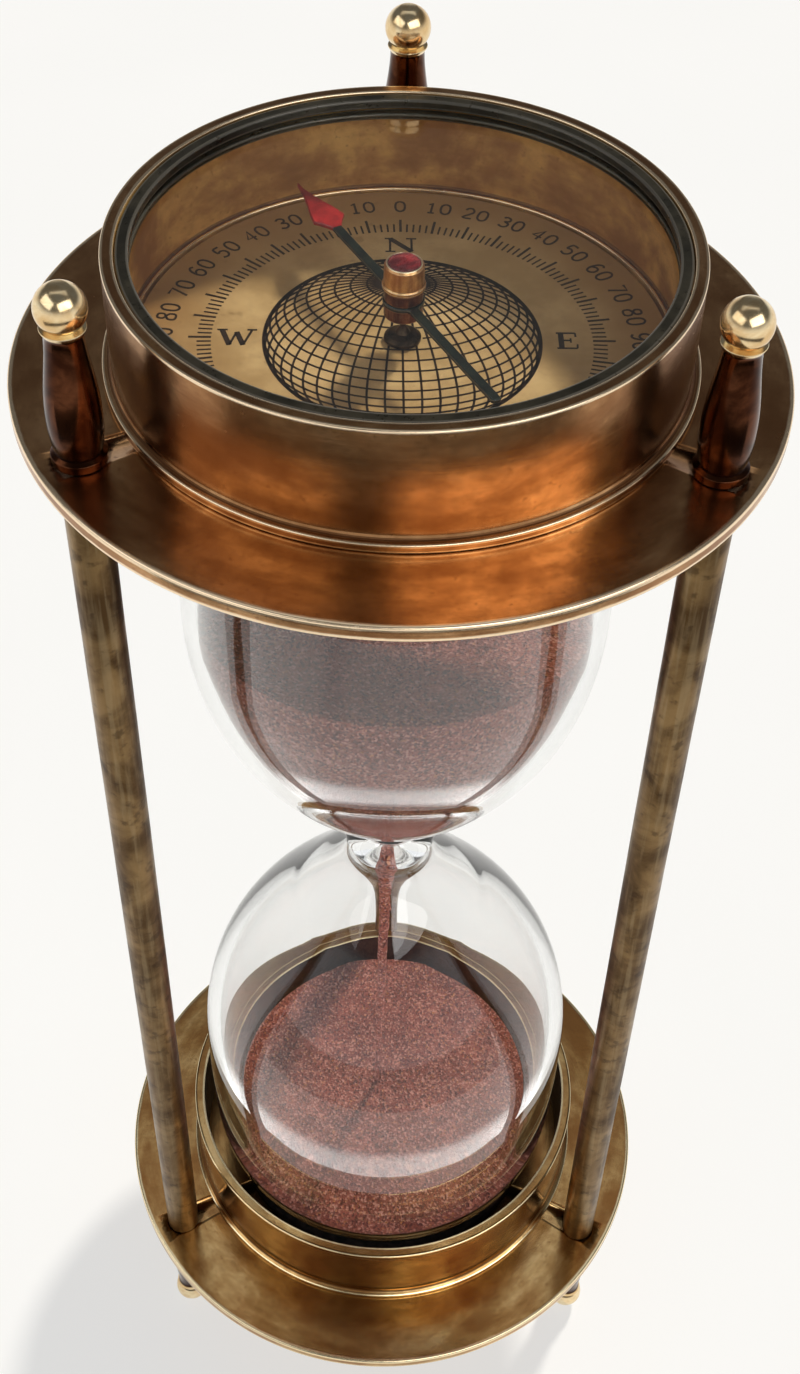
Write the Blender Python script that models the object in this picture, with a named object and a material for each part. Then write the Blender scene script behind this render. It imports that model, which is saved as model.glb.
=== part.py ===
"""Brass sand timer with a compass in its top plate.

Two round plates are held apart by three rods. Each rod's reduced ends pass through the
plates into turned finials: three stand up above the top plate, and three hang below the
bottom plate as feet, so the timer can be turned over and stood on either end. A blown glass
with two bulbs stands between the plates, each end in a shallow collar. A drum on the top
plate holds a compass: dial card, pivot, needle, glass crystal and the rings that hold it.

Sizes are in millimetres until a mesh is made. +Z is up, Z = 0 is the plane the feet stand
on, and the timer's axis is the Z axis. The rear rod and the dial's north are towards +Y.
"""
import math

import bmesh
import bpy
from mathutils import Matrix, Vector
from mathutils.geometry import interpolate_bezier

MM = 0.001
GAP = 0.3                      # clearance between pieces that touch
SHARP = math.radians(35)       # edges sharper than this stay crisp

# Driving dimensions
PLATE_R = 36.0
PLATE_T = 1.6
PLATE_EDGE = 0.35
SPAN = 136.2                   # between the facing sides of the two plates
ROD_CIRCLE = 31.9
ROD_R = 2.1
ROD_ANGLES = {"rear": 90.7, "left": 210.7, "right": 330.7}
SPIGOT_R = 1.1
SPIGOT_LENGTH = 8.5            # beyond the plate, inside the finial
HOLE_R = SPIGOT_R + GAP
FINIAL_HEIGHT = 17.6           # from the plate's face to the flat on the ball
FOOT_HEIGHT = 20.2             # the same, for the lower three
FINIAL_BALL_R = 2.25
FINIAL_FLAT = 2.1              # from the ball's centre to its flat
FINIAL_NECK_R = 1.7
FINIAL_BELLY_R = 2.45
COLLAR_R = 26.4
COLLAR_WALL = 1.2
LOWER_COLLAR_HEIGHT = 11.2
UPPER_COLLAR_HEIGHT = 9.4
CUSHION_R = 21.0
CUSHION_T = 1.5
BULB_HALF = 66.0               # from the waist to either end of the glass
KNOT_R = 5.4
BORE_R = 1.3
UPPER_BULB = (22.4, 20.8, 20.5)   # outside, inside at the belly, inside towards the end
LOWER_BULB = (23.9, 22.3, 21.8)
FILL_HOLE_R = 4.0
STOPPER_LENGTH = 3.8
STREAM_R = 0.7
HEAP_EDGE = 58.6               # below the waist, where the fallen sand meets the glass
HEAP_PEAK = 57.4               # below the waist, the top of the fallen heap
FULL_EDGE = 42.0               # above the waist, where the unspent sand meets the glass
FULL_DIP = 36.0                # above the waist, the bottom of its crater
DRUM_R = 26.6
DRUM_BORE = 25.4
DRUM_HEIGHT = 12.2
DRUM_BEAD_R = 27.4
DIAL_R = 24.6
DIAL_T = 0.8
STEP_R = 24.9                  # inner step at the foot of the drum, around the dial
STEP_TOP = 1.35
SEAT_BORE = 24.2
RETAINER_BORE = 24.1
CRYSTAL_T = 0.8
CRYSTAL_LOW = 10.15            # above the top plate
PIVOT_BASE_R = 1.4
PIN_R = 0.25
PIN_TOP = 8.3
NEEDLE_LOW = 5.25
NEEDLE_T = 0.35
NEEDLE_TIP = 21.2
NEEDLE_BARB = 14.3
NEEDLE_NECK = 13.0
NEEDLE_TAIL = 16.5
NEEDLE_BARB_HALF = 1.6
NEEDLE_HALF = 0.45
NEEDLE_EYE_R = 1.9
NEEDLE_HOLE_R = 1.2
NEEDLE_HEADING = 30            # degrees west of the dial's north
CAP_BORE = 0.55
CAP_R = 1.9
JEWEL_R = 1.3

# Levels worked out from them
BASE_LOW = FOOT_HEIGHT
BASE_TOP = BASE_LOW + PLATE_T
LID_LOW = BASE_TOP + SPAN
LID_TOP = LID_LOW + PLATE_T
WAIST = (BASE_TOP + LID_LOW) / 2


def material(name, colour, roughness, metallic, alpha=1.0):
    """A plain Principled material."""
    made = bpy.data.materials.new(name)
    made.use_nodes = True
    shader = made.node_tree.nodes["Principled BSDF"]
    shader.inputs["Base Color"].default_value = (*colour, 1.0)
    shader.inputs["Roughness"].default_value = roughness
    shader.inputs["Metallic"].default_value = metallic
    shader.inputs["Alpha"].default_value = alpha
    return made


def arc(centre, radius, start, end, steps):
    """Points on a circular arc in the (radius, height) plane, angles in degrees."""
    points = []
    for i in range(steps + 1):
        angle = math.radians(start + (end - start) * i / steps)
        points.append((centre[0] + radius * math.cos(angle), centre[1] + radius * math.sin(angle)))
    return points


def bezier(start, handle_a, handle_b, end, count):
    """Points along one cubic curve in the (radius, height) plane."""
    corners = [Vector((r, 0, z)) for r, z in (start, handle_a, handle_b, end)]
    return [(p.x, p.z) for p in interpolate_bezier(*corners, count)]


def link(name, mesh, finish, at=(0, 0, 0), parent=None):
    """Put a mesh into the scene as a named object, placed in millimetres."""
    thing = bpy.data.objects.new(name, mesh)
    bpy.context.collection.objects.link(thing)
    thing.location = Vector(at) * MM
    thing.parent = parent
    if not mesh.materials:
        mesh.materials.append(finish)
    return thing


def finish_mesh(bm, name):
    """Weld, turn the faces outwards, shade smooth and return the mesh."""
    bmesh.ops.remove_doubles(bm, verts=bm.verts, dist=1e-6)
    bmesh.ops.recalc_face_normals(bm, faces=bm.faces)
    mesh = bpy.data.meshes.new(name)
    bm.to_mesh(mesh)
    bm.free()
    mesh.shade_smooth()
    mesh.set_sharp_from_angle(angle=SHARP)
    return mesh


def turned_mesh(name, profile, segments):
    """Turn a profile of (radius, height) points about the Z axis.

    A profile that starts and ends on the axis makes a solid piece; any other is closed
    back to its first point and makes a ring.
    """
    bm = bmesh.new()
    verts = [bm.verts.new((r * MM, 0, z * MM)) for r, z in profile]
    edges = [bm.edges.new(pair) for pair in zip(verts, verts[1:])]
    if profile[0][0] > 0 or profile[-1][0] > 0:
        edges.append(bm.edges.new((verts[-1], verts[0])))
    bmesh.ops.spin(
        bm, geom=verts + edges, cent=(0, 0, 0), axis=(0, 0, 1),
        angle=math.tau, steps=segments, use_merge=True,
    )
    return finish_mesh(bm, name)


def turned(name, profile, finish, segments=48, at=(0, 0, 0), parent=None):
    return link(name, turned_mesh(name, profile, segments), finish, at, parent)


def ring_profile(inner, outer, low, high, edge):
    """A ring's rectangular section with the upper corner of its bore chamfered."""
    return [(inner, low), (outer, low), (outer, high), (inner + edge, high), (inner, high - edge)]


def disc_profile(radius, low, high, edge):
    """A disc's half section with its two rims chamfered."""
    return [
        (0, low), (radius - edge, low), (radius, low + edge),
        (radius, high - edge), (radius - edge, high), (0, high),
    ]


def on_circle(angle):
    """The place of a rod's axis, in the plane of the plates."""
    turn = math.radians(angle)
    return ROD_CIRCLE * math.cos(turn), ROD_CIRCLE * math.sin(turn)


def plate(name, low, finish):
    """A round plate with a hole for each rod's spigot."""
    body = turned(name, disc_profile(PLATE_R, low, low + PLATE_T, PLATE_EDGE), finish, 48)
    for side, angle in ROD_ANGLES.items():
        x, y = on_circle(angle)
        drill = turned(f"{name}_drill_{side}", disc_profile(HOLE_R, low - 2, low + PLATE_T + 2, 0.1),
                       finish, 16, (x, y, 0))
        drill.hide_render = True
        drill.display_type = "WIRE"
        cut = body.modifiers.new(f"hole_{side}", "BOOLEAN")
        cut.operation = "DIFFERENCE"
        cut.solver = "EXACT"
        cut.object = drill
    return body


def make_rods(finish):
    """Three rods between the plates, with thinner spigots at both ends."""
    low = BASE_TOP + GAP
    high = LID_LOW - GAP
    tail = BASE_LOW - SPIGOT_LENGTH
    head = LID_TOP + SPIGOT_LENGTH
    profile = [
        (0, tail), (SPIGOT_R, tail), (SPIGOT_R, low), (ROD_R - 0.2, low), (ROD_R, low + 0.2),
        (ROD_R, high - 0.2), (ROD_R - 0.2, high), (SPIGOT_R, high), (SPIGOT_R, head), (0, head),
    ]
    mesh = turned_mesh("rod", profile, 20)
    for side, angle in ROD_ANGLES.items():
        link(f"rod_{side}", mesh, finish, (*on_circle(angle), 0))


def finial_profile(height):
    """A skittle shape with a ball on top, bored from below for the spigot."""
    centre = height - FINIAL_FLAT
    flat_angle = math.degrees(math.asin(FINIAL_FLAT / FINIAL_BALL_R))
    neck_angle = -math.degrees(math.acos(FINIAL_NECK_R / FINIAL_BALL_R))
    ball = arc((0, centre), FINIAL_BALL_R, neck_angle, flat_angle, 5)
    bore_top = SPIGOT_LENGTH + GAP
    foot = [(0, bore_top), (HOLE_R, bore_top), (HOLE_R, GAP), (2.4, GAP), (2.5, 0.6), (2.4, 0.95)]
    belly = bezier((2.05, 1.1), (2.35, 2.4), (FINIAL_BELLY_R, 3.2), (FINIAL_BELLY_R, 4.7), 3)
    throat = (FINIAL_NECK_R, centre - 2.3)
    neck = bezier(belly[-1], (FINIAL_BELLY_R, 8.2), (FINIAL_NECK_R, centre - 4.9), throat, 5)
    return foot + belly + neck[1:] + ball + [(0, height)]


def make_finials(finish):
    """Three finials above the top plate, and three longer ones turned over as feet."""
    upper = turned_mesh("finial", finial_profile(FINIAL_HEIGHT), 16)
    lower = turned_mesh("foot", finial_profile(FOOT_HEIGHT), 16)
    for side, angle in ROD_ANGLES.items():
        x, y = on_circle(angle)
        link(f"finial_{side}", upper, finish, (x, y, LID_TOP))
        foot = link(f"foot_{side}", lower, finish, (x, y, BASE_LOW))
        foot.rotation_euler = (math.pi, 0, 0)


def collar(name, mouth, seat, finish):
    """A shallow tube around one end of the glass, flanged where it meets its plate."""
    inner = COLLAR_R - COLLAR_WALL
    side = 1 if mouth > seat else -1
    profile = [
        (inner, seat), (COLLAR_R + 0.7, seat), (COLLAR_R + 0.7, seat + 0.5 * side),
        (COLLAR_R + 0.2, seat + 1.0 * side), (COLLAR_R, seat + 1.3 * side),
        (COLLAR_R, mouth - 0.9 * side), (COLLAR_R + 0.15, mouth - 0.5 * side),
        (COLLAR_R - 0.2, mouth), (inner + 0.2, mouth), (inner, mouth - 0.4 * side),
    ]
    turned(name, profile, finish, 40)


def glass_outer(belly):
    """Outside of one bulb, from the waist to its end, heights away from the waist."""
    knot = [(KNOT_R, 0), (5.0, 1.4), (4.5, 3.0)]
    shoulder = bezier(knot[-1], (4.7, 5.4), (8.8, 8.4), (12.0, 12.6), 4)
    side = bezier(shoulder[-1], (17.2, 19.4), (belly, 26.5), (belly, 39.6), 6)
    wall = bezier(side[-1], (belly, 46.0), (belly, 52.0), (belly - 0.5, 57.0), 2)
    end = bezier(wall[-1], (belly - 0.9, 62.0), (belly - 4, BULB_HALF), (15.0, BULB_HALF), 4)
    return knot + shoulder[1:] + side[1:] + wall[1:] + end[1:]


def glass_inner(bulb):
    """Inside of one bulb, from the waist to its end, heights away from the waist."""
    outer, belly, foot = bulb
    throat = bezier((BORE_R, 0), (BORE_R, 3.6), (7.8, 9.0), (11.0, 13.4), 5)
    side = bezier(throat[-1], (15.7, 19.9), (belly, 27.0), (belly, 39.6), 6)
    wall = bezier(side[-1], (belly, 46.0), (foot + 0.2, 52.0), (foot, 57.5), 2)
    end = bezier(wall[-1], (foot - 0.6, 62.5), (foot - 3.5, BULB_HALF - 2), (8.0, BULB_HALF - 2), 5)
    return throat + side[1:] + wall[1:] + end[1:]


def bore_radius(bulb, height):
    """Radius of a bulb's inside at a height away from the waist."""
    curve = glass_inner(bulb)
    for (r0, z0), (r1, z1) in zip(curve, curve[1:]):
        if z0 <= height <= z1:
            return r0 + (r1 - r0) * (height - z0) / (z1 - z0)
    return curve[-1][0]


def mirrored(points):
    """The same points below the waist."""
    return [(r, -z) for r, z in points]


def make_glass(finish):
    """The double bulb, open at a fill hole in its upper end."""
    end = BULB_HALF
    outside = [(FILL_HOLE_R, end)] + glass_outer(UPPER_BULB[0])[::-1]
    outside += mirrored(glass_outer(LOWER_BULB[0])[1:]) + [(0, -end)]
    inside = [(0, -end + 2)] + mirrored(glass_inner(LOWER_BULB))[::-1]
    inside += glass_inner(UPPER_BULB)[1:] + [(FILL_HOLE_R, end - 2)]
    turned("glass_bulb", outside + inside, finish, 28, (0, 0, WAIST))


def make_stopper(finish):
    """The plug in the glass's fill hole, flush with the end of the glass."""
    high = BULB_HALF
    low = high - STOPPER_LENGTH
    radius = FILL_HOLE_R - GAP
    profile = [(0, low), (radius - 0.5, low), (radius - 0.3, low + 0.3), (radius, high), (0, high)]
    turned("bulb_stopper", profile, finish, 20, (0, 0, WAIST))


def sand_wall(bulb, low, high, count):
    """Points along the sand's side, kept clear of the glass."""
    points = []
    for i in range(count + 1):
        height = low + (high - low) * i / count
        points.append((bore_radius(bulb, height) - GAP, height))
    return points


def make_sand(finish):
    """Unspent sand with a crater above, fallen heap below, and the thread between them."""
    start = 4.2
    unspent = [(0, start)] + sand_wall(UPPER_BULB, start, FULL_EDGE, 9) + [(0, FULL_DIP)]
    turned("sand_upper", unspent, finish, 28, (0, 0, WAIST))
    floor = BULB_HALF - 2 - GAP
    side = mirrored(sand_wall(LOWER_BULB, HEAP_EDGE, floor - 0.9, 4))[::-1]
    heap = [(0, -floor), (7.8, -floor)] + side + [(1.5, -HEAP_PEAK - 0.4), (0, -HEAP_PEAK)]
    turned("sand_lower", heap, finish, 28, (0, 0, WAIST))
    thread = disc_profile(STREAM_R, -HEAP_PEAK + GAP, start - GAP, 0.1)
    turned("sand_stream", thread, finish, 12, (0, 0, WAIST))


def make_drum(finish):
    """The compass case: a tube with a bead at its foot and a step around the dial."""
    low = GAP
    profile = [
        (STEP_R, low), (DRUM_BEAD_R - 0.3, low), (DRUM_BEAD_R, low + 0.3), (DRUM_BEAD_R - 0.3, low + 0.7),
        (DRUM_R + 0.1, low + 0.9), (DRUM_R, low + 1.2), (DRUM_R, DRUM_HEIGHT - 0.3),
        (DRUM_R - 0.3, DRUM_HEIGHT), (DRUM_BORE + 0.2, DRUM_HEIGHT), (DRUM_BORE, DRUM_HEIGHT - 0.2),
        (DRUM_BORE, STEP_TOP), (STEP_R + 0.15, STEP_TOP), (STEP_R, STEP_TOP - 0.15),
    ]
    turned("compass_drum", profile, finish, 40, (0, 0, LID_TOP))


def make_dial(finish):
    """The dial card, pierced for the pivot's stem."""
    profile = ring_profile(0.9, DIAL_R, GAP, GAP + DIAL_T, 0.05)
    turned("dial_card", profile, finish, 36, (0, 0, LID_TOP))


def make_crystal(glass, seat_finish, ring_finish):
    """The flat crystal between the ring that it rests on and the ring that holds it down."""
    outer = DRUM_BORE - GAP
    high = CRYSTAL_LOW + CRYSTAL_T
    seat = ring_profile(SEAT_BORE, outer, CRYSTAL_LOW - GAP - 0.5, CRYSTAL_LOW - GAP, 0.1)
    turned("crystal_seat_ring", seat, seat_finish, 36, (0, 0, LID_TOP))
    pane = disc_profile(outer, CRYSTAL_LOW, high, 0.1)
    turned("compass_crystal", pane, glass, 36, (0, 0, LID_TOP))
    retainer = ring_profile(RETAINER_BORE, outer, high + GAP, DRUM_HEIGHT - 0.15, 0.2)
    turned("crystal_retaining_ring", retainer, ring_finish, 36, (0, 0, LID_TOP))


def make_pivot(finish):
    """The pivot: a stem through the dial, a small round base and a pointed pin."""
    base = GAP + DIAL_T + GAP
    profile = [
        (0, GAP), (0.6, GAP), (0.6, base), (PIVOT_BASE_R, base), (PIVOT_BASE_R, base + 0.3),
        (PIVOT_BASE_R - 0.2, base + 0.5), (0.6, base + 0.6), (PIN_R, base + 1.1),
        (PIN_R, PIN_TOP - 0.7), (0, PIN_TOP),
    ]
    turned("pivot_post", profile, finish, 20, (0, 0, LID_TOP))


def make_needle(finish, pivot):
    """The flat arrow, with a round eye in the middle for the cap's stem.

    Its outline runs along local +Y. The arrow is one extruded face, and its eye is joined
    to it and bored by Booleans.
    """
    outline = [
        (0, NEEDLE_TIP), (-NEEDLE_BARB_HALF, NEEDLE_BARB), (-NEEDLE_HALF, NEEDLE_NECK),
        (-NEEDLE_HALF, -NEEDLE_TAIL), (NEEDLE_HALF, -NEEDLE_TAIL), (NEEDLE_HALF, NEEDLE_NECK),
        (NEEDLE_BARB_HALF, NEEDLE_BARB),
    ]
    bm = bmesh.new()
    face = bm.faces.new([bm.verts.new((x * MM, y * MM, NEEDLE_LOW * MM)) for x, y in outline])
    grown = bmesh.ops.extrude_face_region(bm, geom=[face])
    upper = [v for v in grown["geom"] if isinstance(v, bmesh.types.BMVert)]
    bmesh.ops.translate(bm, vec=(0, 0, NEEDLE_T * MM), verts=upper)
    needle = link("compass_needle", finish_mesh(bm, "compass_needle"), finish, parent=pivot)
    high = NEEDLE_LOW + NEEDLE_T
    eye = turned("needle_eye", disc_profile(NEEDLE_EYE_R, NEEDLE_LOW - 0.05, high + 0.05, 0.05),
                 finish, 28, parent=pivot)
    bore = turned("needle_bore", disc_profile(NEEDLE_HOLE_R, NEEDLE_LOW - 1, high + 1, 0.1),
                  finish, 20, parent=pivot)
    for tool, operation in ((eye, "UNION"), (bore, "DIFFERENCE")):
        tool.hide_render = True
        tool.display_type = "WIRE"
        step = needle.modifiers.new(tool.name, "BOOLEAN")
        step.operation = operation
        step.solver = "EXACT"
        step.object = tool


def make_cap(brass, red, pivot):
    """The cap that rides on the pin: a bush riveted through the needle, and its jewel."""
    low = NEEDLE_LOW - GAP
    high = NEEDLE_LOW + NEEDLE_T + GAP
    stem = NEEDLE_HOLE_R - GAP
    profile = [
        (0, 8.6), (CAP_BORE, 8.6), (CAP_BORE, low - 0.65), (CAP_R, low - 0.65), (CAP_R, low),
        (stem, low), (stem, high), (CAP_R, high), (CAP_R, 7.1), (CAP_R + 0.15, 7.2),
        (CAP_R + 0.15, 7.4), (CAP_R - 0.05, 7.55), (CAP_R - 0.1, 9.1), (CAP_R - 0.25, 9.35),
        (JEWEL_R + GAP, 9.35), (JEWEL_R + GAP, 8.9), (0, 8.9),
    ]
    turned("needle_cap", profile, brass, 28, parent=pivot)
    dome = bezier((JEWEL_R, 9.4), (JEWEL_R - 0.1, 9.6), (0.7, 9.75), (0, 9.75), 4)
    turned("cap_jewel", [(0, 9.2), (JEWEL_R, 9.2)] + dome, red, 20, parent=pivot)


def main():
    for thing in list(bpy.data.objects):
        bpy.data.objects.remove(thing, do_unlink=True)

    aged_brass = material("aged_brass", (0.38, 0.22, 0.09), 0.35, 1.0)
    rod_brass = material("rod_brass", (0.27, 0.20, 0.11), 0.5, 1.0)
    polished_brass = material("polished_brass", (0.85, 0.60, 0.24), 0.2, 1.0)
    glass = material("clear_glass", (0.95, 0.97, 0.96), 0.03, 0.0, 0.3)
    cork = material("cork", (0.45, 0.28, 0.15), 0.9, 0.0)
    sand = material("rose_sand", (0.42, 0.25, 0.24), 0.95, 0.0)
    paper = material("dial_paper", (0.80, 0.70, 0.50), 0.7, 0.0)
    dark_ring = material("dark_ring", (0.05, 0.05, 0.04), 0.4, 0.3)
    steel = material("pin_steel", (0.5, 0.5, 0.5), 0.3, 1.0)
    needle_paint = material("needle_paint", (0.03, 0.05, 0.04), 0.5, 0.2)
    red = material("jewel_red", (0.40, 0.03, 0.05), 0.3, 0.0)

    plate("bottom_plate", BASE_LOW, aged_brass)
    plate("top_plate", LID_LOW, aged_brass)
    make_rods(rod_brass)
    make_finials(polished_brass)
    collar("lower_collar", BASE_TOP + LOWER_COLLAR_HEIGHT, BASE_TOP + GAP, aged_brass)
    collar("upper_collar", LID_LOW - UPPER_COLLAR_HEIGHT, LID_LOW - GAP, aged_brass)
    lower_pad = disc_profile(CUSHION_R, BASE_TOP + GAP, BASE_TOP + GAP + CUSHION_T, 0.3)
    upper_pad = disc_profile(CUSHION_R, LID_LOW - GAP - CUSHION_T, LID_LOW - GAP, 0.3)
    turned("lower_cushion", lower_pad, cork, 32)
    turned("upper_cushion", upper_pad, cork, 32)
    make_glass(glass)
    make_stopper(cork)
    make_sand(sand)
    make_drum(aged_brass)
    make_dial(paper)
    make_crystal(glass, aged_brass, dark_ring)
    make_pivot(steel)

    pivot = bpy.data.objects.new("needle_axis", None)
    bpy.context.collection.objects.link(pivot)
    pivot.matrix_world = Matrix.Translation((0, 0, LID_TOP * MM))
    pivot.rotation_euler = (0, 0, math.radians(NEEDLE_HEADING))
    make_needle(needle_paint, pivot)
    make_cap(aged_brass, red, pivot)


main()
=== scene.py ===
import math

import bmesh
import bpy
from mathutils import Matrix, Vector, noise
from mathutils.geometry import interpolate_bezier


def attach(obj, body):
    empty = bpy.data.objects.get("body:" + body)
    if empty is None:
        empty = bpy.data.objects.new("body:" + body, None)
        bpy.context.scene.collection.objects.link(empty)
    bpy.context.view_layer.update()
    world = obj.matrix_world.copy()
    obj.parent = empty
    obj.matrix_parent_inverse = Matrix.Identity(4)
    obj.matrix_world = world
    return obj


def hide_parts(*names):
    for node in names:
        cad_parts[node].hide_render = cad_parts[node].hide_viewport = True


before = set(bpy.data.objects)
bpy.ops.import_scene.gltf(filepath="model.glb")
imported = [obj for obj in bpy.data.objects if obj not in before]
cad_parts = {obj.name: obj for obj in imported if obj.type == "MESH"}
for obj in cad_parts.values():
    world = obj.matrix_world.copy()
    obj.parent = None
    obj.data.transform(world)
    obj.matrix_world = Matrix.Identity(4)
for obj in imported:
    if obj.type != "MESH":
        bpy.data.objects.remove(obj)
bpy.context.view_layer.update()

MM = 0.001
ON_AXIS = 1e-9  # a point nearer the axis than this lies on it

# Driving dimensions. They follow the CAD, with narrower gaps where parts touch.
GAP = 0.05  # between a part and the plate it stands on
PLATE_R = 36.0
PLATE_T = 1.6
SPAN = 136.2  # between the plates
ROD_CIRCLE = 31.9
ROD_R = 2.1
ROD_ANGLES = {"rear": 90.7, "left": 210.7, "right": 330.7}
SPIGOT_R = 1.1
SPIGOT_LENGTH = 8.5  # beyond the plate, inside the finial
HOLE_R = 1.4  # in the plates and finials, around the spigot
FINIAL_HEIGHT = 17.6
FOOT_HEIGHT = 20.2
FOOT_RING_R = 2.5
BELLY_R = 2.45
NECK_R = 1.7
BALL_R = 2.25
BALL_FLAT = 2.1  # from the ball's centre to its flat
COLLAR_R = 26.4
COLLAR_INNER = 25.2
LOWER_COLLAR_HEIGHT = 11.2
UPPER_COLLAR_HEIGHT = 9.4
CUSHION_R = 21.0
CUSHION_T = 1.7
BULB_HALF = 66.0  # from the waist to either end of the glass
GLASS_END_T = 2.0
KNOT_R = 5.4  # the knot of glass at the waist
BORE_R = 1.3
UPPER_BULB = (22.4, 20.8, 20.5)  # outside, inside at the belly, inside towards the end
LOWER_BULB = (23.9, 22.3, 21.8)
FILL_HOLE_R = 4.0
STOPPER_LENGTH = 3.8
SAND_GAP = 0.08  # between the sand and the glass
SAND_START = 3.6  # above the waist, where the sand begins to fall
HEAP_EDGE = 58.6  # below the waist, where the fallen sand meets the glass
HEAP_PEAK = 57.4  # below the waist, the top of the fallen heap
HEAP_FLOOR = BULB_HALF - GLASS_END_T - 0.1
FULL_EDGE = 42.0  # above the waist, where the unspent sand meets the glass
FULL_DIP = 36.0  # above the waist, the bottom of its crater
LOOSE_UPPER_R = 20.58  # inside these radii the sand's surface is roughened
LOOSE_LOWER_R = 20.5
DRUM_R = 26.6
DRUM_BORE = 25.4
DRUM_HEIGHT = 12.2
DRUM_BEAD_R = 27.4
STEP_R = 24.9  # inner step at the foot of the drum, around the dial
STEP_TOP = 1.35
SEAT_BORE = 24.2
RETAINER_BORE = 24.1
RING_R = 25.3  # outside of both rings that hold the crystal
CRYSTAL_R = 25.2
CRYSTAL_LOW = 10.05  # above the top plate
CRYSTAL_HIGH = 10.95
DIAL_R = 24.6
DIAL_LOW = 0.3
DIAL_HIGH = 1.1
DIAL_HOLE_R = 0.9
PIN_R = 0.25
PIN_TOP = 8.3
NEEDLE_LOW = 5.25
NEEDLE_T = 0.35
NEEDLE_HALF = 0.47
NEEDLE_NECK = 12.95  # the arrow head is red beyond this
NEEDLE_TAIL = 16.5
NEEDLE_EYE_R = 1.9
NEEDLE_HOLE_R = 1.2
NEEDLE_HEADING = math.radians(30)  # west of the dial's north
CAP_BORE = 0.55
JEWEL_R = 1.47
INK_T = 0.025
CARD_TURN = math.radians(1.8)  # the card sits turned this far to the west
SCALE_R = 17.5  # where the ticks start
NUMBER_R = 22.0
LETTER_R = 15.2
GLOBE_R = 12.7

# Levels worked out from them
BASE_LOW = FOOT_HEIGHT
BASE_TOP = BASE_LOW + PLATE_T
LID_LOW = BASE_TOP + SPAN
LID_TOP = LID_LOW + PLATE_T
WAIST = (BASE_TOP + LID_LOW) / 2
CARD_TOP = LID_TOP + DIAL_HIGH

# The view, fitted to the photograph
CAMERA_AT = (0.000713, -0.139612, 0.262895)
CAMERA_PITCH = math.radians(46.7082)
CAMERA_ROLL = math.radians(1.6906)

# The studio. Azimuth 0 is in front of the timer and 90 is to its right, in degrees.
FLOOR_GLOW = 0.64
GLASS_GLOW = 2.6  # added where only the glass looks
FAR_SHARE = 0.1
NEAR_RING = (0.040, 0.047, 0.058, 0.072)  # the glow rises, is full, starts to fade, is gone
FAR_RING = (0.085, 0.095, 0.22, 0.34)
FLAG_R = 0.2
FLAG_REACH = 66  # degrees to either side of the front
FLAG_LOW = 0.001
FLAG_HIGH = 0.075
FLAG_STEPS = 24
WINDOWS = (("window_left", -64, 1.3), ("window_right", 39, 2.8))  # name, azimuth, radiance
WINDOW_RISE = 41
WINDOW_AWAY = 0.9
WINDOW_SIZE = (0.95, 0.5)
AIM = (0, 0, 0.1)


def add(name, data):
    """A new object in the scene."""
    made = bpy.data.objects.new(name, data)
    bpy.context.scene.collection.objects.link(made)
    return made


# ---- camera

def make_camera():
    """A close view from above the front, a little rolled."""
    ahead = Vector((0, math.cos(CAMERA_PITCH), -math.sin(CAMERA_PITCH)))
    side = Vector((1, 0, 0))
    above = side.cross(ahead)
    right = side * math.cos(CAMERA_ROLL) + above * math.sin(CAMERA_ROLL)
    up = above * math.cos(CAMERA_ROLL) - side * math.sin(CAMERA_ROLL)
    data = bpy.data.cameras.new("camera")
    data.sensor_width = 36
    data.lens = 48.55
    data.clip_start = 0.01
    data.clip_end = 20
    camera = add("camera", data)
    turn = Matrix((right, up, -ahead)).transposed().to_4x4()
    camera.matrix_world = Matrix.Translation(CAMERA_AT) @ turn
    bpy.context.scene.camera = camera


# ---- shader helper

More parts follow.
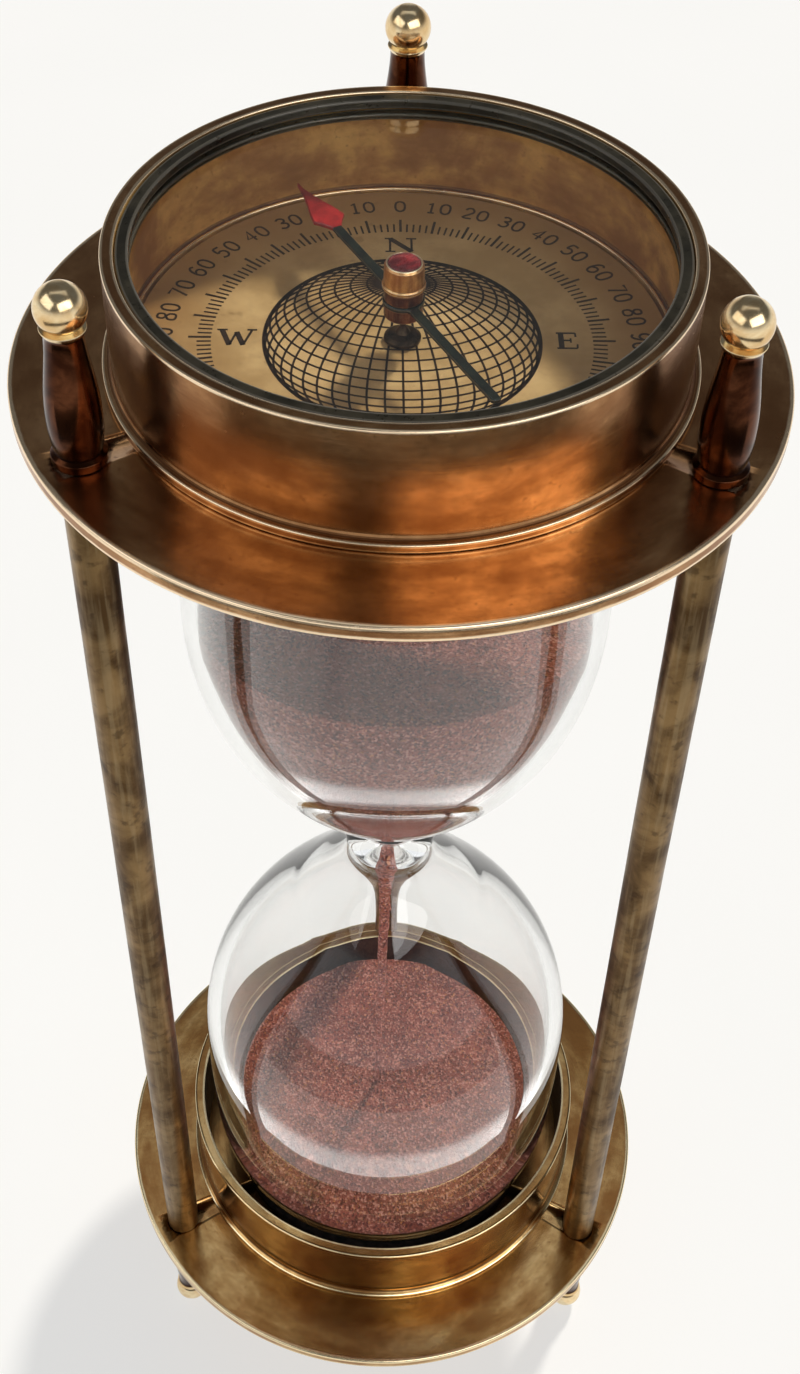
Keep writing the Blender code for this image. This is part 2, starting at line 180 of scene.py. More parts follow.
class Shade:
    """Builds one node material, or the sky. Patterns are placed in metres on the piece itself."""

    def __init__(self, name, owner=None):
        self.owner = owner or bpy.data.materials.new(name)
        self.owner.use_nodes = True
        self.tree = self.owner.node_tree
        self.tree.nodes.clear()
        self.out = self.tree.nodes.new(f"ShaderNodeOutput{'World' if owner else 'Material'}")
        self.place = self.node("ShaderNodeTexCoord").outputs["Generated" if owner else "Object"]

    def node(self, kind, inputs=None, **settings):
        made = self.tree.nodes.new(kind)
        for key, value in settings.items():
            setattr(made, key, value)
        for key, value in (inputs or {}).items():
            self.feed(made.inputs[key], value)
        return made

    def feed(self, socket, value):
        if isinstance(value, bpy.types.NodeSocket):
            self.tree.links.new(value, socket)
        elif socket.type == "RGBA" and len(value) == 3:
            socket.default_value = (*value, 1)
        else:
            socket.default_value = value

    def math(self, operation, a, b, clamp=False):
        made = self.node("ShaderNodeMath", operation=operation, use_clamp=clamp)
        self.feed(made.inputs[0], a)
        self.feed(made.inputs[1], b)
        return made.outputs[0]

    def plus(self, a, b, clamp=False):
        return self.math("ADD", a, b, clamp)

    def times(self, a, b):
        return self.math("MULTIPLY", a, b)

    def sway(self, pattern, amount):
        """A pattern's swing to either side of its middle, scaled."""
        return self.times(self.math("SUBTRACT", pattern, 0.5), amount)

    def remap(self, value, low, high, to_low=0.0, to_high=1.0):
        made = self.node("ShaderNodeMapRange", clamp=True, interpolation_type="SMOOTHSTEP")
        for socket, number in zip(made.inputs, (value, low, high, to_low, to_high)):
            self.feed(socket, number)
        return made.outputs[0]

    def band(self, value, rise, full, fade, gone):
        """1 between full and fade, and 0 below rise and above gone."""
        return self.times(self.remap(value, rise, full), self.remap(value, gone, fade))

    def noise(self, scale, detail=4.0, rough=0.55, vector=None, bend=0.0):
        made = self.node("ShaderNodeTexNoise", {
            "Vector": vector or self.place, "Scale": scale, "Detail": detail,
            "Roughness": rough, "Distortion": bend})
        return made.outputs["Fac"]

    def mix(self, factor, a, b):
        made = self.node("ShaderNodeMix", data_type="RGBA")
        self.feed(made.inputs["Factor"], factor)
        self.feed(made.inputs[6], a)
        self.feed(made.inputs[7], b)
        return made.outputs[2]

    def tint(self, colour, tone, value, low, high, amount=1.0):
        """Mix a tone in where a value rises from low to high, up to an amount."""
        return self.mix(self.remap(value, low, high, 0.0, amount), colour, tone)

    def attribute(self, name):
        return self.node("ShaderNodeAttribute", attribute_name=name).outputs["Fac"]

    def axes(self, vector):
        return self.node("ShaderNodeSeparateXYZ", {"Vector": vector}).outputs

    def flat(self):
        """The place without its height."""
        xyz = self.axes(self.place)
        return self.node("ShaderNodeCombineXYZ", {"X": xyz["X"], "Y": xyz["Y"]}).outputs[0]

    def radius(self):
        """How far the place is from the piece's own axis."""
        return self.node("ShaderNodeVectorMath", {0: self.flat()}, operation="LENGTH").outputs["Value"]

    def polar(self, along, across):
        """A place that runs slowly round the piece's own axis and quickly across the turning."""
        unit = self.node("ShaderNodeVectorMath", {0: self.flat()}, operation="NORMALIZE").outputs[0]
        bearing = self.axes(unit)
        run = self.plus(self.radius(), self.axes(self.place)["Z"])
        return self.node("ShaderNodeCombineXYZ", {
            "X": self.times(bearing["X"], along), "Y": self.times(bearing["Y"], along),
            "Z": self.times(run, across)}).outputs[0]

    def bump(self, height, strength, distance, before=None):
        inputs = {"Height": height, "Strength": strength, "Distance": distance}
        if before is not None:
            inputs["Normal"] = before
        return self.node("ShaderNodeBump", inputs).outputs[0]

    def surface(self, **inputs):
        shader = self.node("ShaderNodeBsdfPrincipled")
        for key, value in inputs.items():
            self.feed(shader.inputs[key.replace("_", " ")], value)
        return self.finish(shader)

    def finish(self, shader):
        self.feed(self.out.inputs["Surface"], shader.outputs[0])
        return self.owner


# ---- materials

def aged_brass(name, light, base, dark, bright, gloss=0.2, blotch=75.0, worn=1.0, metal=1.0):
    """Antiqued brass: blotchy patina, turning marks, fine pits, and corners worn bright."""
    s = Shade(name)
    cloud = s.noise(blotch, 5, 0.6, bend=0.5)
    fine = s.noise(620, 4, 0.6)
    turned = s.noise(1, 3, 0.6, s.polar(2.2, 2300))
    streak = s.noise(1, 4, 0.6, s.polar(5.0, 420))
    pits = s.noise(1900, 2, 0.5)
    tone = s.plus(s.times(cloud, 0.62), s.times(streak, 0.38))
    colour = s.mix(s.remap(tone, 0.38, 0.64), dark, base)
    colour = s.tint(colour, light, tone, 0.5, 0.72, 0.75)
    colour = s.tint(colour, dark, fine, 0.5, 0.75, 0.3)
    colour = s.tint(colour, dark, pits, 0.62, 0.74, 0.55)
    corner = s.plus(s.attribute("edge"), s.sway(s.noise(300, 5, 0.65), 0.9))
    colour = s.tint(colour, bright, corner, 0.35, 0.85, worn)
    grime = s.remap(corner, -0.2, -0.8)
    soot = (dark[0] * 0.35, dark[1] * 0.3, dark[2] * 0.3)
    colour = s.mix(s.times(grime, 0.8), colour, soot)
    rough = s.remap(tone, 0.3, 0.75, gloss + 0.06, gloss - 0.01)
    rough = s.plus(rough, s.sway(fine, 0.14))
    rough = s.plus(rough, s.times(grime, 0.3), clamp=True)
    normal = s.bump(turned, 0.35, 0.00002)
    normal = s.bump(s.noise(150, 3, 0.5), 0.3, 0.00012, normal)
    normal = s.bump(pits, 0.3, 0.00002, normal)
    return s.surface(Base_Color=colour, Metallic=metal, Roughness=rough, Normal=normal)


def rod_brass():
    """Dull, spotted olive-brown brass with drawn lines along it."""
    s = Shade("rod_brass")
    xyz = s.axes(s.place)
    drawn = s.node("ShaderNodeCombineXYZ", {
        "X": xyz["X"], "Y": xyz["Y"], "Z": s.times(xyz["Z"], 0.06)}).outputs[0]
    cloud = s.noise(120, 5, 0.62, bend=0.4)
    spots = s.noise(520, 3, 0.55)
    lines = s.noise(1700, 3, 0.5, drawn)
    colour = s.mix(s.remap(cloud, 0.36, 0.66), (0.085, 0.045, 0.016), (0.25, 0.155, 0.065))
    colour = s.tint(colour, (0.36, 0.27, 0.15), lines, 0.45, 0.7, 0.35)
    colour = s.tint(colour, (0.04, 0.02, 0.009), spots, 0.54, 0.68, 0.55)
    rough = s.remap(cloud, 0.3, 0.7, 0.46, 0.3)
    normal = s.bump(lines, 0.3, 0.00002)
    normal = s.bump(spots, 0.35, 0.00004, normal)
    return s.surface(Base_Color=colour, Metallic=1.0, Roughness=rough, Normal=normal)


def finial_brass():
    """A polished ball on a dark lacquered body, told apart by the "polish" attribute."""
    s = Shade("finial_brass")
    cloud = s.noise(260, 4, 0.6, bend=0.5)
    streak = s.noise(1, 3, 0.6, s.polar(5.0, 900))
    body = s.mix(s.remap(cloud, 0.35, 0.7), (0.03, 0.009, 0.004), (0.12, 0.042, 0.018))
    gold = s.mix(s.remap(cloud, 0.35, 0.72), (0.74, 0.50, 0.24), (0.97, 0.84, 0.56))
    border = s.plus(s.attribute("polish"), s.sway(cloud, 0.3))
    colour = s.tint(body, gold, border, 0.35, 0.65)
    colour = s.tint(colour, (0.85, 0.60, 0.32), s.attribute("edge"), 0.3, 0.9, 0.8)
    rough = s.plus(s.remap(cloud, 0.3, 0.7, 0.2, 0.12), s.times(streak, 0.05))
    return s.surface(Base_Color=colour, Metallic=1.0, Roughness=rough, Normal=s.bump(streak, 0.2, 0.00002))


def clear_glass(name, tint, waves=0.0):
    """Clear glass that lets lamps light what is behind it."""
    s = Shade(name)
    film = s.tint(tint, [part * 0.985 for part in tint], s.noise(90, 4, 0.6, bend=0.8), 0.55, 0.8)
    shader = s.node("ShaderNodeBsdfPrincipled", {
        "Base Color": film, "Roughness": 0.0, "IOR": 1.5, "Transmission Weight": 1.0})
    if waves:
        s.feed(shader.inputs["Normal"], s.bump(s.noise(70, 2, 0.4), waves, 0.0004))
    through = s.node("ShaderNodeBsdfTransparent", {"Color": (0.93, 0.94, 0.93)})
    shadow = s.node("ShaderNodeLightPath").outputs["Is Shadow Ray"]
    both = s.node("ShaderNodeMixShader", {0: shadow, 1: shader.outputs[0], 2: through.outputs[0]})
    return s.finish(both)


def rose_sand(name, light=1.0):
    """Fine dusty-rose sand with paler and darker grains. light scales every tone; above 1 it is painted
    light.
    """
    s = Shade(name)
    grains = s.node("ShaderNodeTexVoronoi", {"Vector": s.place, "Scale": 4300})
    pick = s.node("ShaderNodeSeparateColor", {"Color": grains.outputs["Color"]}).outputs
    brown, rose, rust, pale, black, amber = (
        [part * light for part in tone] for tone in (
            (0.15, 0.034, 0.022), (0.24, 0.064, 0.044), (0.31, 0.078, 0.034),
            (0.52, 0.25, 0.20), (0.05, 0.010, 0.009), (0.48, 0.19, 0.05)))
    colour = s.mix(s.remap(s.noise(190, 4, 0.6), 0.35, 0.68), brown, rose)
    colour = s.tint(colour, rust, s.noise(45, 3, 0.5), 0.45, 0.65, 0.35)
    colour = s.tint(colour, pale, pick[0], 0.6, 0.9, 0.6)
    colour = s.tint(colour, black, pick[1], 0.6, 0.85, 0.8)
    colour = s.tint(colour, amber, pick[2], 0.93, 0.99, 0.45)
    normal = s.bump(grains.outputs["Distance"], 0.8, 0.00015)
    normal = s.bump(s.noise(700, 3, 0.6), 0.5, 0.0002, normal)
    return s.surface(Base_Color=colour, Roughness=0.85, Normal=normal)


def dial_paper():
    """Aged cream card with foxing, and a browner rim that is painted shade and painted brass reflection
    from the case wall.
    """
    s = Shade("dial_paper")
    fibre = s.noise(1500, 4, 0.6)
    colour = s.mix(s.remap(s.noise(130, 5, 0.6), 0.35, 0.7), (0.42, 0.26, 0.105), (0.64, 0.43, 0.20))
    colour = s.tint(colour, (0.30, 0.19, 0.09), fibre, 0.5, 0.75, 0.25)
    # browner towards the rim: painted shade of the case wall and painted reflection of its brass
    colour = s.tint(colour, (0.30, 0.16, 0.055), s.radius(), 0.0135, 0.0235, 0.8)
    colour = s.tint(colour, (0.25, 0.14, 0.05), s.noise(420, 2, 0.5), 0.68, 0.76, 0.5)
    return s.surface(Base_Color=colour, Roughness=s.remap(fibre, 0.3, 0.7, 0.55, 0.4),
                     Normal=s.bump(fibre, 0.2, 0.00002))


def plain_patina(name, dark, light, scale, rough, metallic, bump=0.00003, worn=None):
    """A finish of two mottled tones, with an optional tone on its corners."""
    s = Shade(name)
    cloud = s.noise(scale, 5, 0.62, bend=0.3)
    fine = s.noise(scale * 9, 3, 0.55)
    colour = s.mix(s.remap(cloud, 0.35, 0.68), dark, light)
    colour = s.tint(colour, dark, fine, 0.5, 0.72, 0.35)
    if worn:
        corner = s.plus(s.attribute("edge"), s.sway(fine, 0.8))
        colour = s.tint(colour, worn, corner, 0.45, 0.95)
    return s.surface(Base_Color=colour, Metallic=metallic,
                     Roughness=s.remap(fine, 0.3, 0.7, rough + 0.06, rough - 0.06),
                     Normal=s.bump(fine, 0.4, bump))


# ---- mesh helpers

def curve(start, handle_a, handle_b, end, count):
    """Points along a Bezier curve in the (radius, height) plane."""
    corners = [Vector((r, 0, z)) for r, z in (start, handle_a, handle_b, end)]
    return [(p.x, p.z) for p in interpolate_bezier(*corners, count)]


def arc(centre, radius, start, end, steps):
    points = []
    for i in range(steps + 1):
        angle = math.radians(start + (end - start) * i / steps)
        points.append((centre[0] + radius * math.cos(angle), centre[1] + radius * math.sin(angle)))
    return points


MILD_BEND = math.radians(14)  # gentler bends than this are left alone
FULL_CORNER = math.radians(60)  # sharper bends than this are wholly corners
ROUND_SHARE = 0.4  # of a side, at most, goes into rounding one corner
WEAR_SHARE = 0.48  # and this much into its worn zone
ROUND_STEPS = 4


def soften(corners, radius, spread):
    """Round the corners of a half section and mark them.

    Returns (radius, height, edge) points. A section that starts on the axis is open;
    any other is a ring and its last point joins its first.
    """
    closed = corners[0][0] > 0
    count = len(corners)
    area = sum(a[0] * b[1] - b[0] * a[1] for a, b in zip(corners, corners[1:] + corners[:1]))
    side = 1 if area > 0 else -1
    made = []
    for i, corner in enumerate(corners):
        here = Vector(corner)
        if not closed and i in (0, count - 1):
            made.append((*here, 0.0))
            continue
        back = Vector(corners[i - 1]) - here
        ahead = Vector(corners[(i + 1) % count]) - here
        turn = math.pi - back.angle(ahead)
        if turn < MILD_BEND:
            made.append((*here, 0.0))
            continue
        outside = side if (-back).cross(ahead) > 0 else -side
        mark = outside * min(1.0, turn / FULL_CORNER)
        shorter = min(back.length, ahead.length)
        reach = min(radius * math.tan(min(turn, 2.2) / 2), ROUND_SHARE * shorter)
        first = here + back.normalized() * reach
        last = here + ahead.normalized() * reach
        far_back = here + back.normalized() * min(reach + spread, WEAR_SHARE * back.length)
        far_ahead = here + ahead.normalized() * min(reach + spread, WEAR_SHARE * ahead.length)
        made.append((*far_back, 0.0))
        for step in range(ROUND_STEPS + 1):
            t = step / ROUND_STEPS
            point = first * (1 - t) ** 2 + here * 2 * t * (1 - t) + last * t * t
            made.append((*point, mark))
        made.append((*far_ahead, 0.0))
    return made


def unmarked(profile):
    """A profile with no worn corners."""
    return [(r, z, 0.0) for r, z in profile]


def new_mesh(name, points, faces):
    mesh = bpy.data.meshes.new(name)
    mesh.from_pydata(points, [], faces)
    return mesh


def turned_mesh(name, profile, segments):
    """Turn (radius, height, edge) points about Z. Points on the axis become one vertex."""
    ring = profile[0][0] > ON_AXIS or profile[-1][0] > ON_AXIS
    points = []
    marks = []
    rows = []
    for r, z, mark in profile:
        if r < ON_AXIS:
            rows.append([len(points)] * segments)
            points.append((0, 0, z * MM))
            marks.append(mark)
            continue
        rows.append(list(range(len(points), len(points) + segments)))
        for k in range(segments):
            angle = math.tau * k / segments
            points.append((r * MM * math.cos(angle), r * MM * math.sin(angle), z * MM))
            marks.append(mark)
    faces = []
    pairs = list(zip(rows, rows[1:]))
    if ring:
        pairs.append((rows[-1], rows[0]))
    for low, high in pairs:
        for k in range(segments):
            n = (k + 1) % segments
            face = []
            for index in (low[k], low[n], high[n], high[k]):
                if index not in face:
                    face.append(index)
            if len(face) > 2:
                faces.append(face)
    mesh = new_mesh(name, points, faces)
    edge = mesh.attributes.new("edge", "FLOAT", "POINT")
    edge.data.foreach_set("value", marks)
    close_up(mesh)
    return mesh


def turn_out(mesh, weld=0.0):
    """Turn the faces outwards, with points nearer than weld joined."""
    bm = bmesh.new()
    bm.from_mesh(mesh)
    if weld:
        bmesh.ops.remove_doubles(bm, verts=bm.verts, dist=weld)
    bmesh.ops.recalc_face_normals(bm, faces=bm.faces)
    bm.to_mesh(mesh)
    bm.free()


def close_up(mesh, sharp=40):
    """Finish a piece's mesh: welded, and smooth but for its sharp edges."""
    turn_out(mesh, 1e-7)
    mesh.shade_smooth()
    mesh.set_sharp_from_angle(angle=math.radians(sharp))


def place(name, mesh, material, nodes, slot, body="frame", at=(0, 0, 0), turn=(0, 0, 0)):
    """Put a piece into the scene, on its body, in place of its CAD nodes."""
    piece = add(name, mesh)
    piece.location = Vector(at) * MM
    piece.rotation_euler = turn
    if not mesh.materials:
        mesh.materials.append(material)
    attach(piece, body)
    if nodes:
        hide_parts(*nodes)
    return piece


def turned_piece(part, finish, corners, ease, segments, material, slot, **where):
    """A turned part. ease is the radius of its corners and how far their wear spreads."""
    mesh = turned_mesh(part, soften(corners, *ease), segments)
    return place(f"{part}_{finish}", mesh, material, [part], slot, **where)


def on_circle(angle):
    turn = math.radians(angle)
    return ROD_CIRCLE * math.cos(turn), ROD_CIRCLE * math.sin(turn)


def block(inner, outer, low, high):
    """A plain section between two radii and two heights."""
    return [(inner, low), (outer, low), (outer, high), (inner, high)]


def raised(profile, height):
    return [(r, z + height) for r, z in profile]


# ---- brass frame

def make_plate(node, low, high, material):
    """A plate with rolled edges, drilled for the rods."""
    piece = turned_piece(node, "turned", block(0, PLATE_R, low, high), (0.3, 0.35), 240,
                         material, "aged_brass")
    drills = []
    bore = unmarked(block(0, HOLE_R, low - 2, high + 2))
    for angle in ROD_ANGLES.values():
        drill = add("drill", turned_mesh("drill", bore, 32))
        drill.location = Vector((*on_circle(angle), 0)) * MM
        cut = piece.modifiers.new("hole", "BOOLEAN")
        cut.operation = "DIFFERENCE"
        cut.solver = "EXACT"
        cut.object = drill
        drills.append(drill)
    bpy.context.view_layer.update()
    drilled = piece.evaluated_get(bpy.context.evaluated_depsgraph_get())
    made = bpy.data.meshes.new_from_object(drilled)
    piece.modifiers.clear()
    piece.data = made
    for drill in drills:
        bpy.data.objects.remove(drill)


ROD_RINGS = 40  # they let a rod bow and dent by a hair, as drawn rod does
ROD_PLAIN = 2  # left plain at either end


def make_rods(material):
    low = BASE_TOP + GAP
    high = LID_LOW - GAP
    tail = BASE_LOW - SPIGOT_LENGTH
    head = LID_TOP + SPIGOT_LENGTH
    corners = [(0, tail), (SPIGOT_R, tail), (SPIGOT_R, low), (ROD_R, low),
               (ROD_R, high), (SPIGOT_R, high), (SPIGOT_R, head), (0, head)]
    marked = soften(corners, 0.15, 0.2)
    split = max(i for i, p in enumerate(marked) if p[1] < WAIST)
    run = high - low - 2 * ROD_PLAIN
    between = [(ROD_R, low + ROD_PLAIN + run * i / ROD_RINGS, 0.0) for i in range(ROD_RINGS + 1)]
    profile = marked[:split + 1] + between + marked[split + 1:]
    for number, (side, angle) in enumerate(ROD_ANGLES.items()):
        mesh = turned_mesh(f"rod_{side}", profile, 48)
        for vertex in mesh.vertices:
            reach = math.hypot(vertex.co.x, vertex.co.y)
            if reach > (ROD_R - 0.3) * MM and low + 1 < vertex.co.z / MM < high - 1:
                spot = Vector((vertex.co.x, vertex.co.y, vertex.co.z * 0.35)) * 420
                grow = 1 + 0.008 * noise.noise(spot + Vector((number * 9, 0, 0)))
                vertex.co.x *= grow
                vertex.co.y *= grow
        place(f"rod_{side}_drawn", mesh, material, [f"rod_{side}"], "rod_brass",
              at=(*on_circle(angle), 0))


POLISH_BELOW = 2.35  # the polish starts this far under the ball's centre
POLISH_FADE = 0.3


def finial_profile(height):
    """The section of a finial: a ring at its foot, a swelling body, a neck and a ball."""
    centre = height - BALL_FLAT
    socket = SPIGOT_LENGTH + 0.3
    foot = soften([(0, socket), (HOLE_R, socket), (HOLE_R, GAP), (FOOT_RING_R, GAP),
                   (FOOT_RING_R, 0.85), (2.15, 1.05)], 0.12, 0.1)[:-1]
    belly = curve((2.1, 1.1), (2.34, 2.4), (BELLY_R, 3.2), (BELLY_R, 4.7), 10)
    neck = curve(belly[-1], (BELLY_R, 8.2), (NECK_R, centre - 4.9), (NECK_R, centre - 2.5), 14)
    throat = curve(neck[-1], (NECK_R, centre - 2.2), (1.92, centre - 2.1), (1.98, centre - 1.85), 5)
    groove = [(1.95, centre - 1.78), (1.62, centre - 1.72)]
    ball_start = -math.degrees(math.acos(1.5 / BALL_R))
    ball_end = math.degrees(math.asin(BALL_FLAT / BALL_R))
    ball = arc((0, centre), BALL_R, ball_start, ball_end, 22)
    return foot + unmarked(belly + neck[1:] + throat[1:] + groove + ball + [(0, height)])


def make_finials(material):
    sets = (("finial", FINIAL_HEIGHT, LID_TOP, 0.0), ("foot", FOOT_HEIGHT, BASE_LOW, math.pi))
    for prefix, height, level, flip in sets:
        start = height - BALL_FLAT - POLISH_BELOW
        for number, (side, angle) in enumerate(ROD_ANGLES.items()):
            mesh = turned_mesh(f"{prefix}_{side}", finial_profile(height), 72)
            polish = mesh.attributes.new("polish", "FLOAT", "POINT")
            for vertex, value in zip(mesh.vertices, polish.data):
                value.value = min(1.0, max(0.0, (vertex.co.z / MM - start) / POLISH_FADE))
            place(f"{prefix}_{side}_turned", mesh, material, [f"{prefix}_{side}"], "polished_brass",
                  at=(*on_circle(angle), level), turn=(flip, 0, math.radians(70 * number)))


def line_inside(mesh, material):
    """Give the faces that look at the axis a second material."""
    mesh.materials.append(material)
    for face in mesh.polygons:
        x, y, _ = face.center
        if x * face.normal.x + y * face.normal.y < -0.9 * math.hypot(x, y):
            face.material_index = 1


def make_collar(node, seat, mouth, material, inside):
    """A thin wall with a bead at its foot and a rolled lip at its mouth, its inside painted near-black as
    shade.
    """
    up = 1 if mouth > seat else -1
    corners = [
        (COLLAR_INNER, seat), (COLLAR_R + 0.7, seat), (COLLAR_R + 0.7, seat + 0.6 * up),
        (COLLAR_R + 0.1, seat + 0.9 * up), (COLLAR_R, seat + 1.3 * up), (COLLAR_R, mouth - 1.1 * up),
        (COLLAR_R + 0.18, mouth - 0.8 * up), (COLLAR_R + 0.18, mouth - 0.1 * up),
        (COLLAR_R - 0.1, mouth), (COLLAR_INNER + 0.1, mouth), (COLLAR_INNER, mouth - 0.3 * up)]
    wall = turned_piece(node, "turned", corners, (0.14, 0.3), 240, material, "aged_brass")
    # the faces that look at the axis get the near-black brass: painted shade for the gap around the glass
    line_inside(wall.data, inside)


# ---- glass and sand

def glass_outer(belly):
    """The outside of one bulb, from the waist to its end."""
    knot = curve((KNOT_R, 0), (KNOT_R, 1.2), (4.4, 1.9), (4.5, 3.2), 6)
    shoulder = curve(knot[-1], (4.7, 5.4), (8.8, 8.4), (12.0, 12.6), 14)
    side = curve(shoulder[-1], (17.2, 19.4), (belly, 26.5), (belly, 39.6), 26)
    wall = curve(side[-1], (belly, 46.0), (belly, 52.0), (belly - 0.5, 57.0), 10)
    end = curve(wall[-1], (belly - 0.9, 62.0), (belly - 4, BULB_HALF), (15.0, BULB_HALF), 14)
    return knot + shoulder[1:] + side[1:] + wall[1:] + end[1:]


def glass_inner(bulb):
    """The inside of one bulb, from the bore at the waist to its end."""
    _, belly, foot = bulb
    top = BULB_HALF - GLASS_END_T
    throat = curve((BORE_R, 0), (BORE_R, 3.6), (7.8, 9.0), (11.0, 13.4), 24)
    side = curve(throat[-1], (15.7, 19.87), (belly, 27.0), (belly, 39.6), 30)
    wall = curve(side[-1], (belly, 46.0), (foot + 0.2, 52.0), (foot, 57.5), 14)
    end = curve(wall[-1], (foot - 0.6, 62.5), (foot - 3.5, top), (8.0, top), 14)
    return throat + side[1:] + wall[1:] + end[1:]


def bore_radius(bulb, height):
    line = glass_inner(bulb)
    for (r0, z0), (r1, z1) in zip(line, line[1:]):
        if z0 <= height <= z1:
            return r0 + (r1 - r0) * (height - z0) / (z1 - z0)
    return line[-1][0]


def mirrored(points):
    return [(r, -z) for r, z in points]


def make_glass(material):
    """One blown piece, closed below and open above at the fill hole."""
    outside = [(FILL_HOLE_R, BULB_HALF)] + glass_outer(UPPER_BULB[0])[::-1]
    outside += mirrored(glass_outer(LOWER_BULB[0])[1:]) + [(0, -BULB_HALF)]
    inside = [(0, GLASS_END_T - BULB_HALF)] + mirrored(glass_inner(LOWER_BULB))[::-1]
    inside += glass_inner(UPPER_BULB)[1:] + [(FILL_HOLE_R, BULB_HALF - GLASS_END_T)]
    mesh = turned_mesh("glass_bulb", unmarked(raised(outside + inside, WAIST)), 160)
    mesh.shade_smooth()
    place("glass_bulb_blown", mesh, material, ["glass_bulb"], "clear_glass")


def make_stopper(material):
    high = WAIST + BULB_HALF
    low = high - STOPPER_LENGTH
    corners = [(0, low), (3.2, low), (3.7, high), (0, high)]
    turned_piece("bulb_stopper", "cut", corners, (0.3, 0.2), 48, material, "cork")


def make_cushions(material):
    for node, low in (("lower_cushion", BASE_TOP + 0.1), ("upper_cushion", LID_LOW - CUSHION_T - 0.1)):
        corners = block(0, CUSHION_R, low, low + CUSHION_T)
        turned_piece(node, "cut", corners, (0.4, 0.2), 96, material, "cork")


def sand_wall(bulb, low, high, steps):
    """Points just inside the glass, from one distance from the waist to another."""
    heights = [low + (high - low) * i / steps for i in range(steps + 1)]
    return [(bore_radius(bulb, height) - SAND_GAP, height) for height in heights]


def rough_surface(mesh, amount, scale, above, within):
    """Lift and sink the points above a level and within a radius by noise."""
    for vertex in mesh.vertices:
        if vertex.co.z > above * MM and math.hypot(vertex.co.x, vertex.co.y) < within * MM:
            vertex.co.z += noise.fractal(vertex.co * scale, 0.7, 2.1, 4) * amount * MM


def make_sand(material):
    """Loose sand: a crater above and a low heap below."""
    wall = sand_wall(UPPER_BULB, SAND_START, FULL_EDGE, 40)
    crater = curve(wall[-1], (14.0, FULL_EDGE - 1.4), (5.0, FULL_DIP + 1.2), (0, FULL_DIP), 30)
    profile = raised([(0, SAND_START)] + wall + crater[1:], WAIST)
    mesh = turned_mesh("sand_upper", unmarked(profile), 140)
    rough_surface(mesh, 0.35, 260, WAIST + FULL_DIP - 0.5, LOOSE_UPPER_R)
    place("sand_upper_loose", mesh, material, ["sand_upper"], "rose_sand")
    side = mirrored(sand_wall(LOWER_BULB, HEAP_EDGE, HEAP_FLOOR - 0.2, 16))[::-1]
    slope = curve(side[-1], (14.0, -HEAP_EDGE + 0.4), (6.0, -HEAP_PEAK - 0.2),
                  (1.2, -HEAP_PEAK - 0.05), 56)
    base = [(0, -HEAP_FLOOR), (7.8, -HEAP_FLOOR)]
    profile = raised(base + side + slope[1:] + [(0, -HEAP_PEAK)], WAIST)
    mesh = turned_mesh("sand_lower", unmarked(profile), 180)
    rough_surface(mesh, 0.3, 330, WAIST - HEAP_EDGE + 0.1, LOOSE_LOWER_R)
    place("sand_lower_loose", mesh, material, ["sand_lower"], "rose_sand")


def make_stream(material):
    """The falling thread: it wavers, thins and breaks up as it drops."""
    high = WAIST + SAND_START
    low = WAIST - HEAP_PEAK
    rows = 90
    sides = 18
    points = []
    for i in range(rows + 1):
        t = i / rows  # how far it has fallen
        z = high + (low - high) * t
        reach = 0.98 - 0.66 * t ** 0.7 + 0.12 * noise.noise(Vector((0, 0, z * 0.45)))
        drift_x = 0.3 * noise.noise(Vector((5, 0, z * 0.16))) * t - 0.15 - 0.8 * t
        drift_y = 0.2 * noise.noise(Vector((0, 8, z * 0.16))) * t
        for k in range(sides):
            angle = math.tau * k / sides
            out = Vector((math.cos(angle), math.sin(angle), 0))
            ragged = 1 + 0.3 * noise.noise((out + Vector((0, 0, z))) * 0.9)
            points.append((Vector((drift_x, drift_y, z)) + out * reach * ragged) * MM)
    faces = []
    for i in range(rows):
        for k in range(sides):
            n = (k + 1) % sides
            faces.append((i * sides + k, i * sides + n, (i + 1) * sides + n, (i + 1) * sides + k))
    faces.append(list(range(sides)))
    faces.append([rows * sides + k for k in range(sides)])
    mesh = new_mesh("sand_stream", points, faces)
    close_up(mesh, 70)
    place("sand_stream_falling", mesh, material, ["sand_stream"], "rose_sand")


# ---- compass

def make_drum(material, inside):
    """The case wall: a bead at its foot, and a step inside around the dial."""
    corners = [
        (STEP_R, GAP), (DRUM_BEAD_R, GAP), (DRUM_BEAD_R, GAP + 0.9), (DRUM_R + 0.15, GAP + 1.0),
        (DRUM_R, GAP + 1.35), (DRUM_R, DRUM_HEIGHT), (DRUM_BORE, DRUM_HEIGHT), (DRUM_BORE, STEP_TOP),
        (STEP_R, STEP_TOP)]
    wall = turned_piece("compass_drum", "turned", raised(corners, LID_TOP), (0.16, 0.24), 260,
                        material, "aged_brass")
    # the faces that look at the axis get the brighter wall brass: painted light
    line_inside(wall.data, inside)


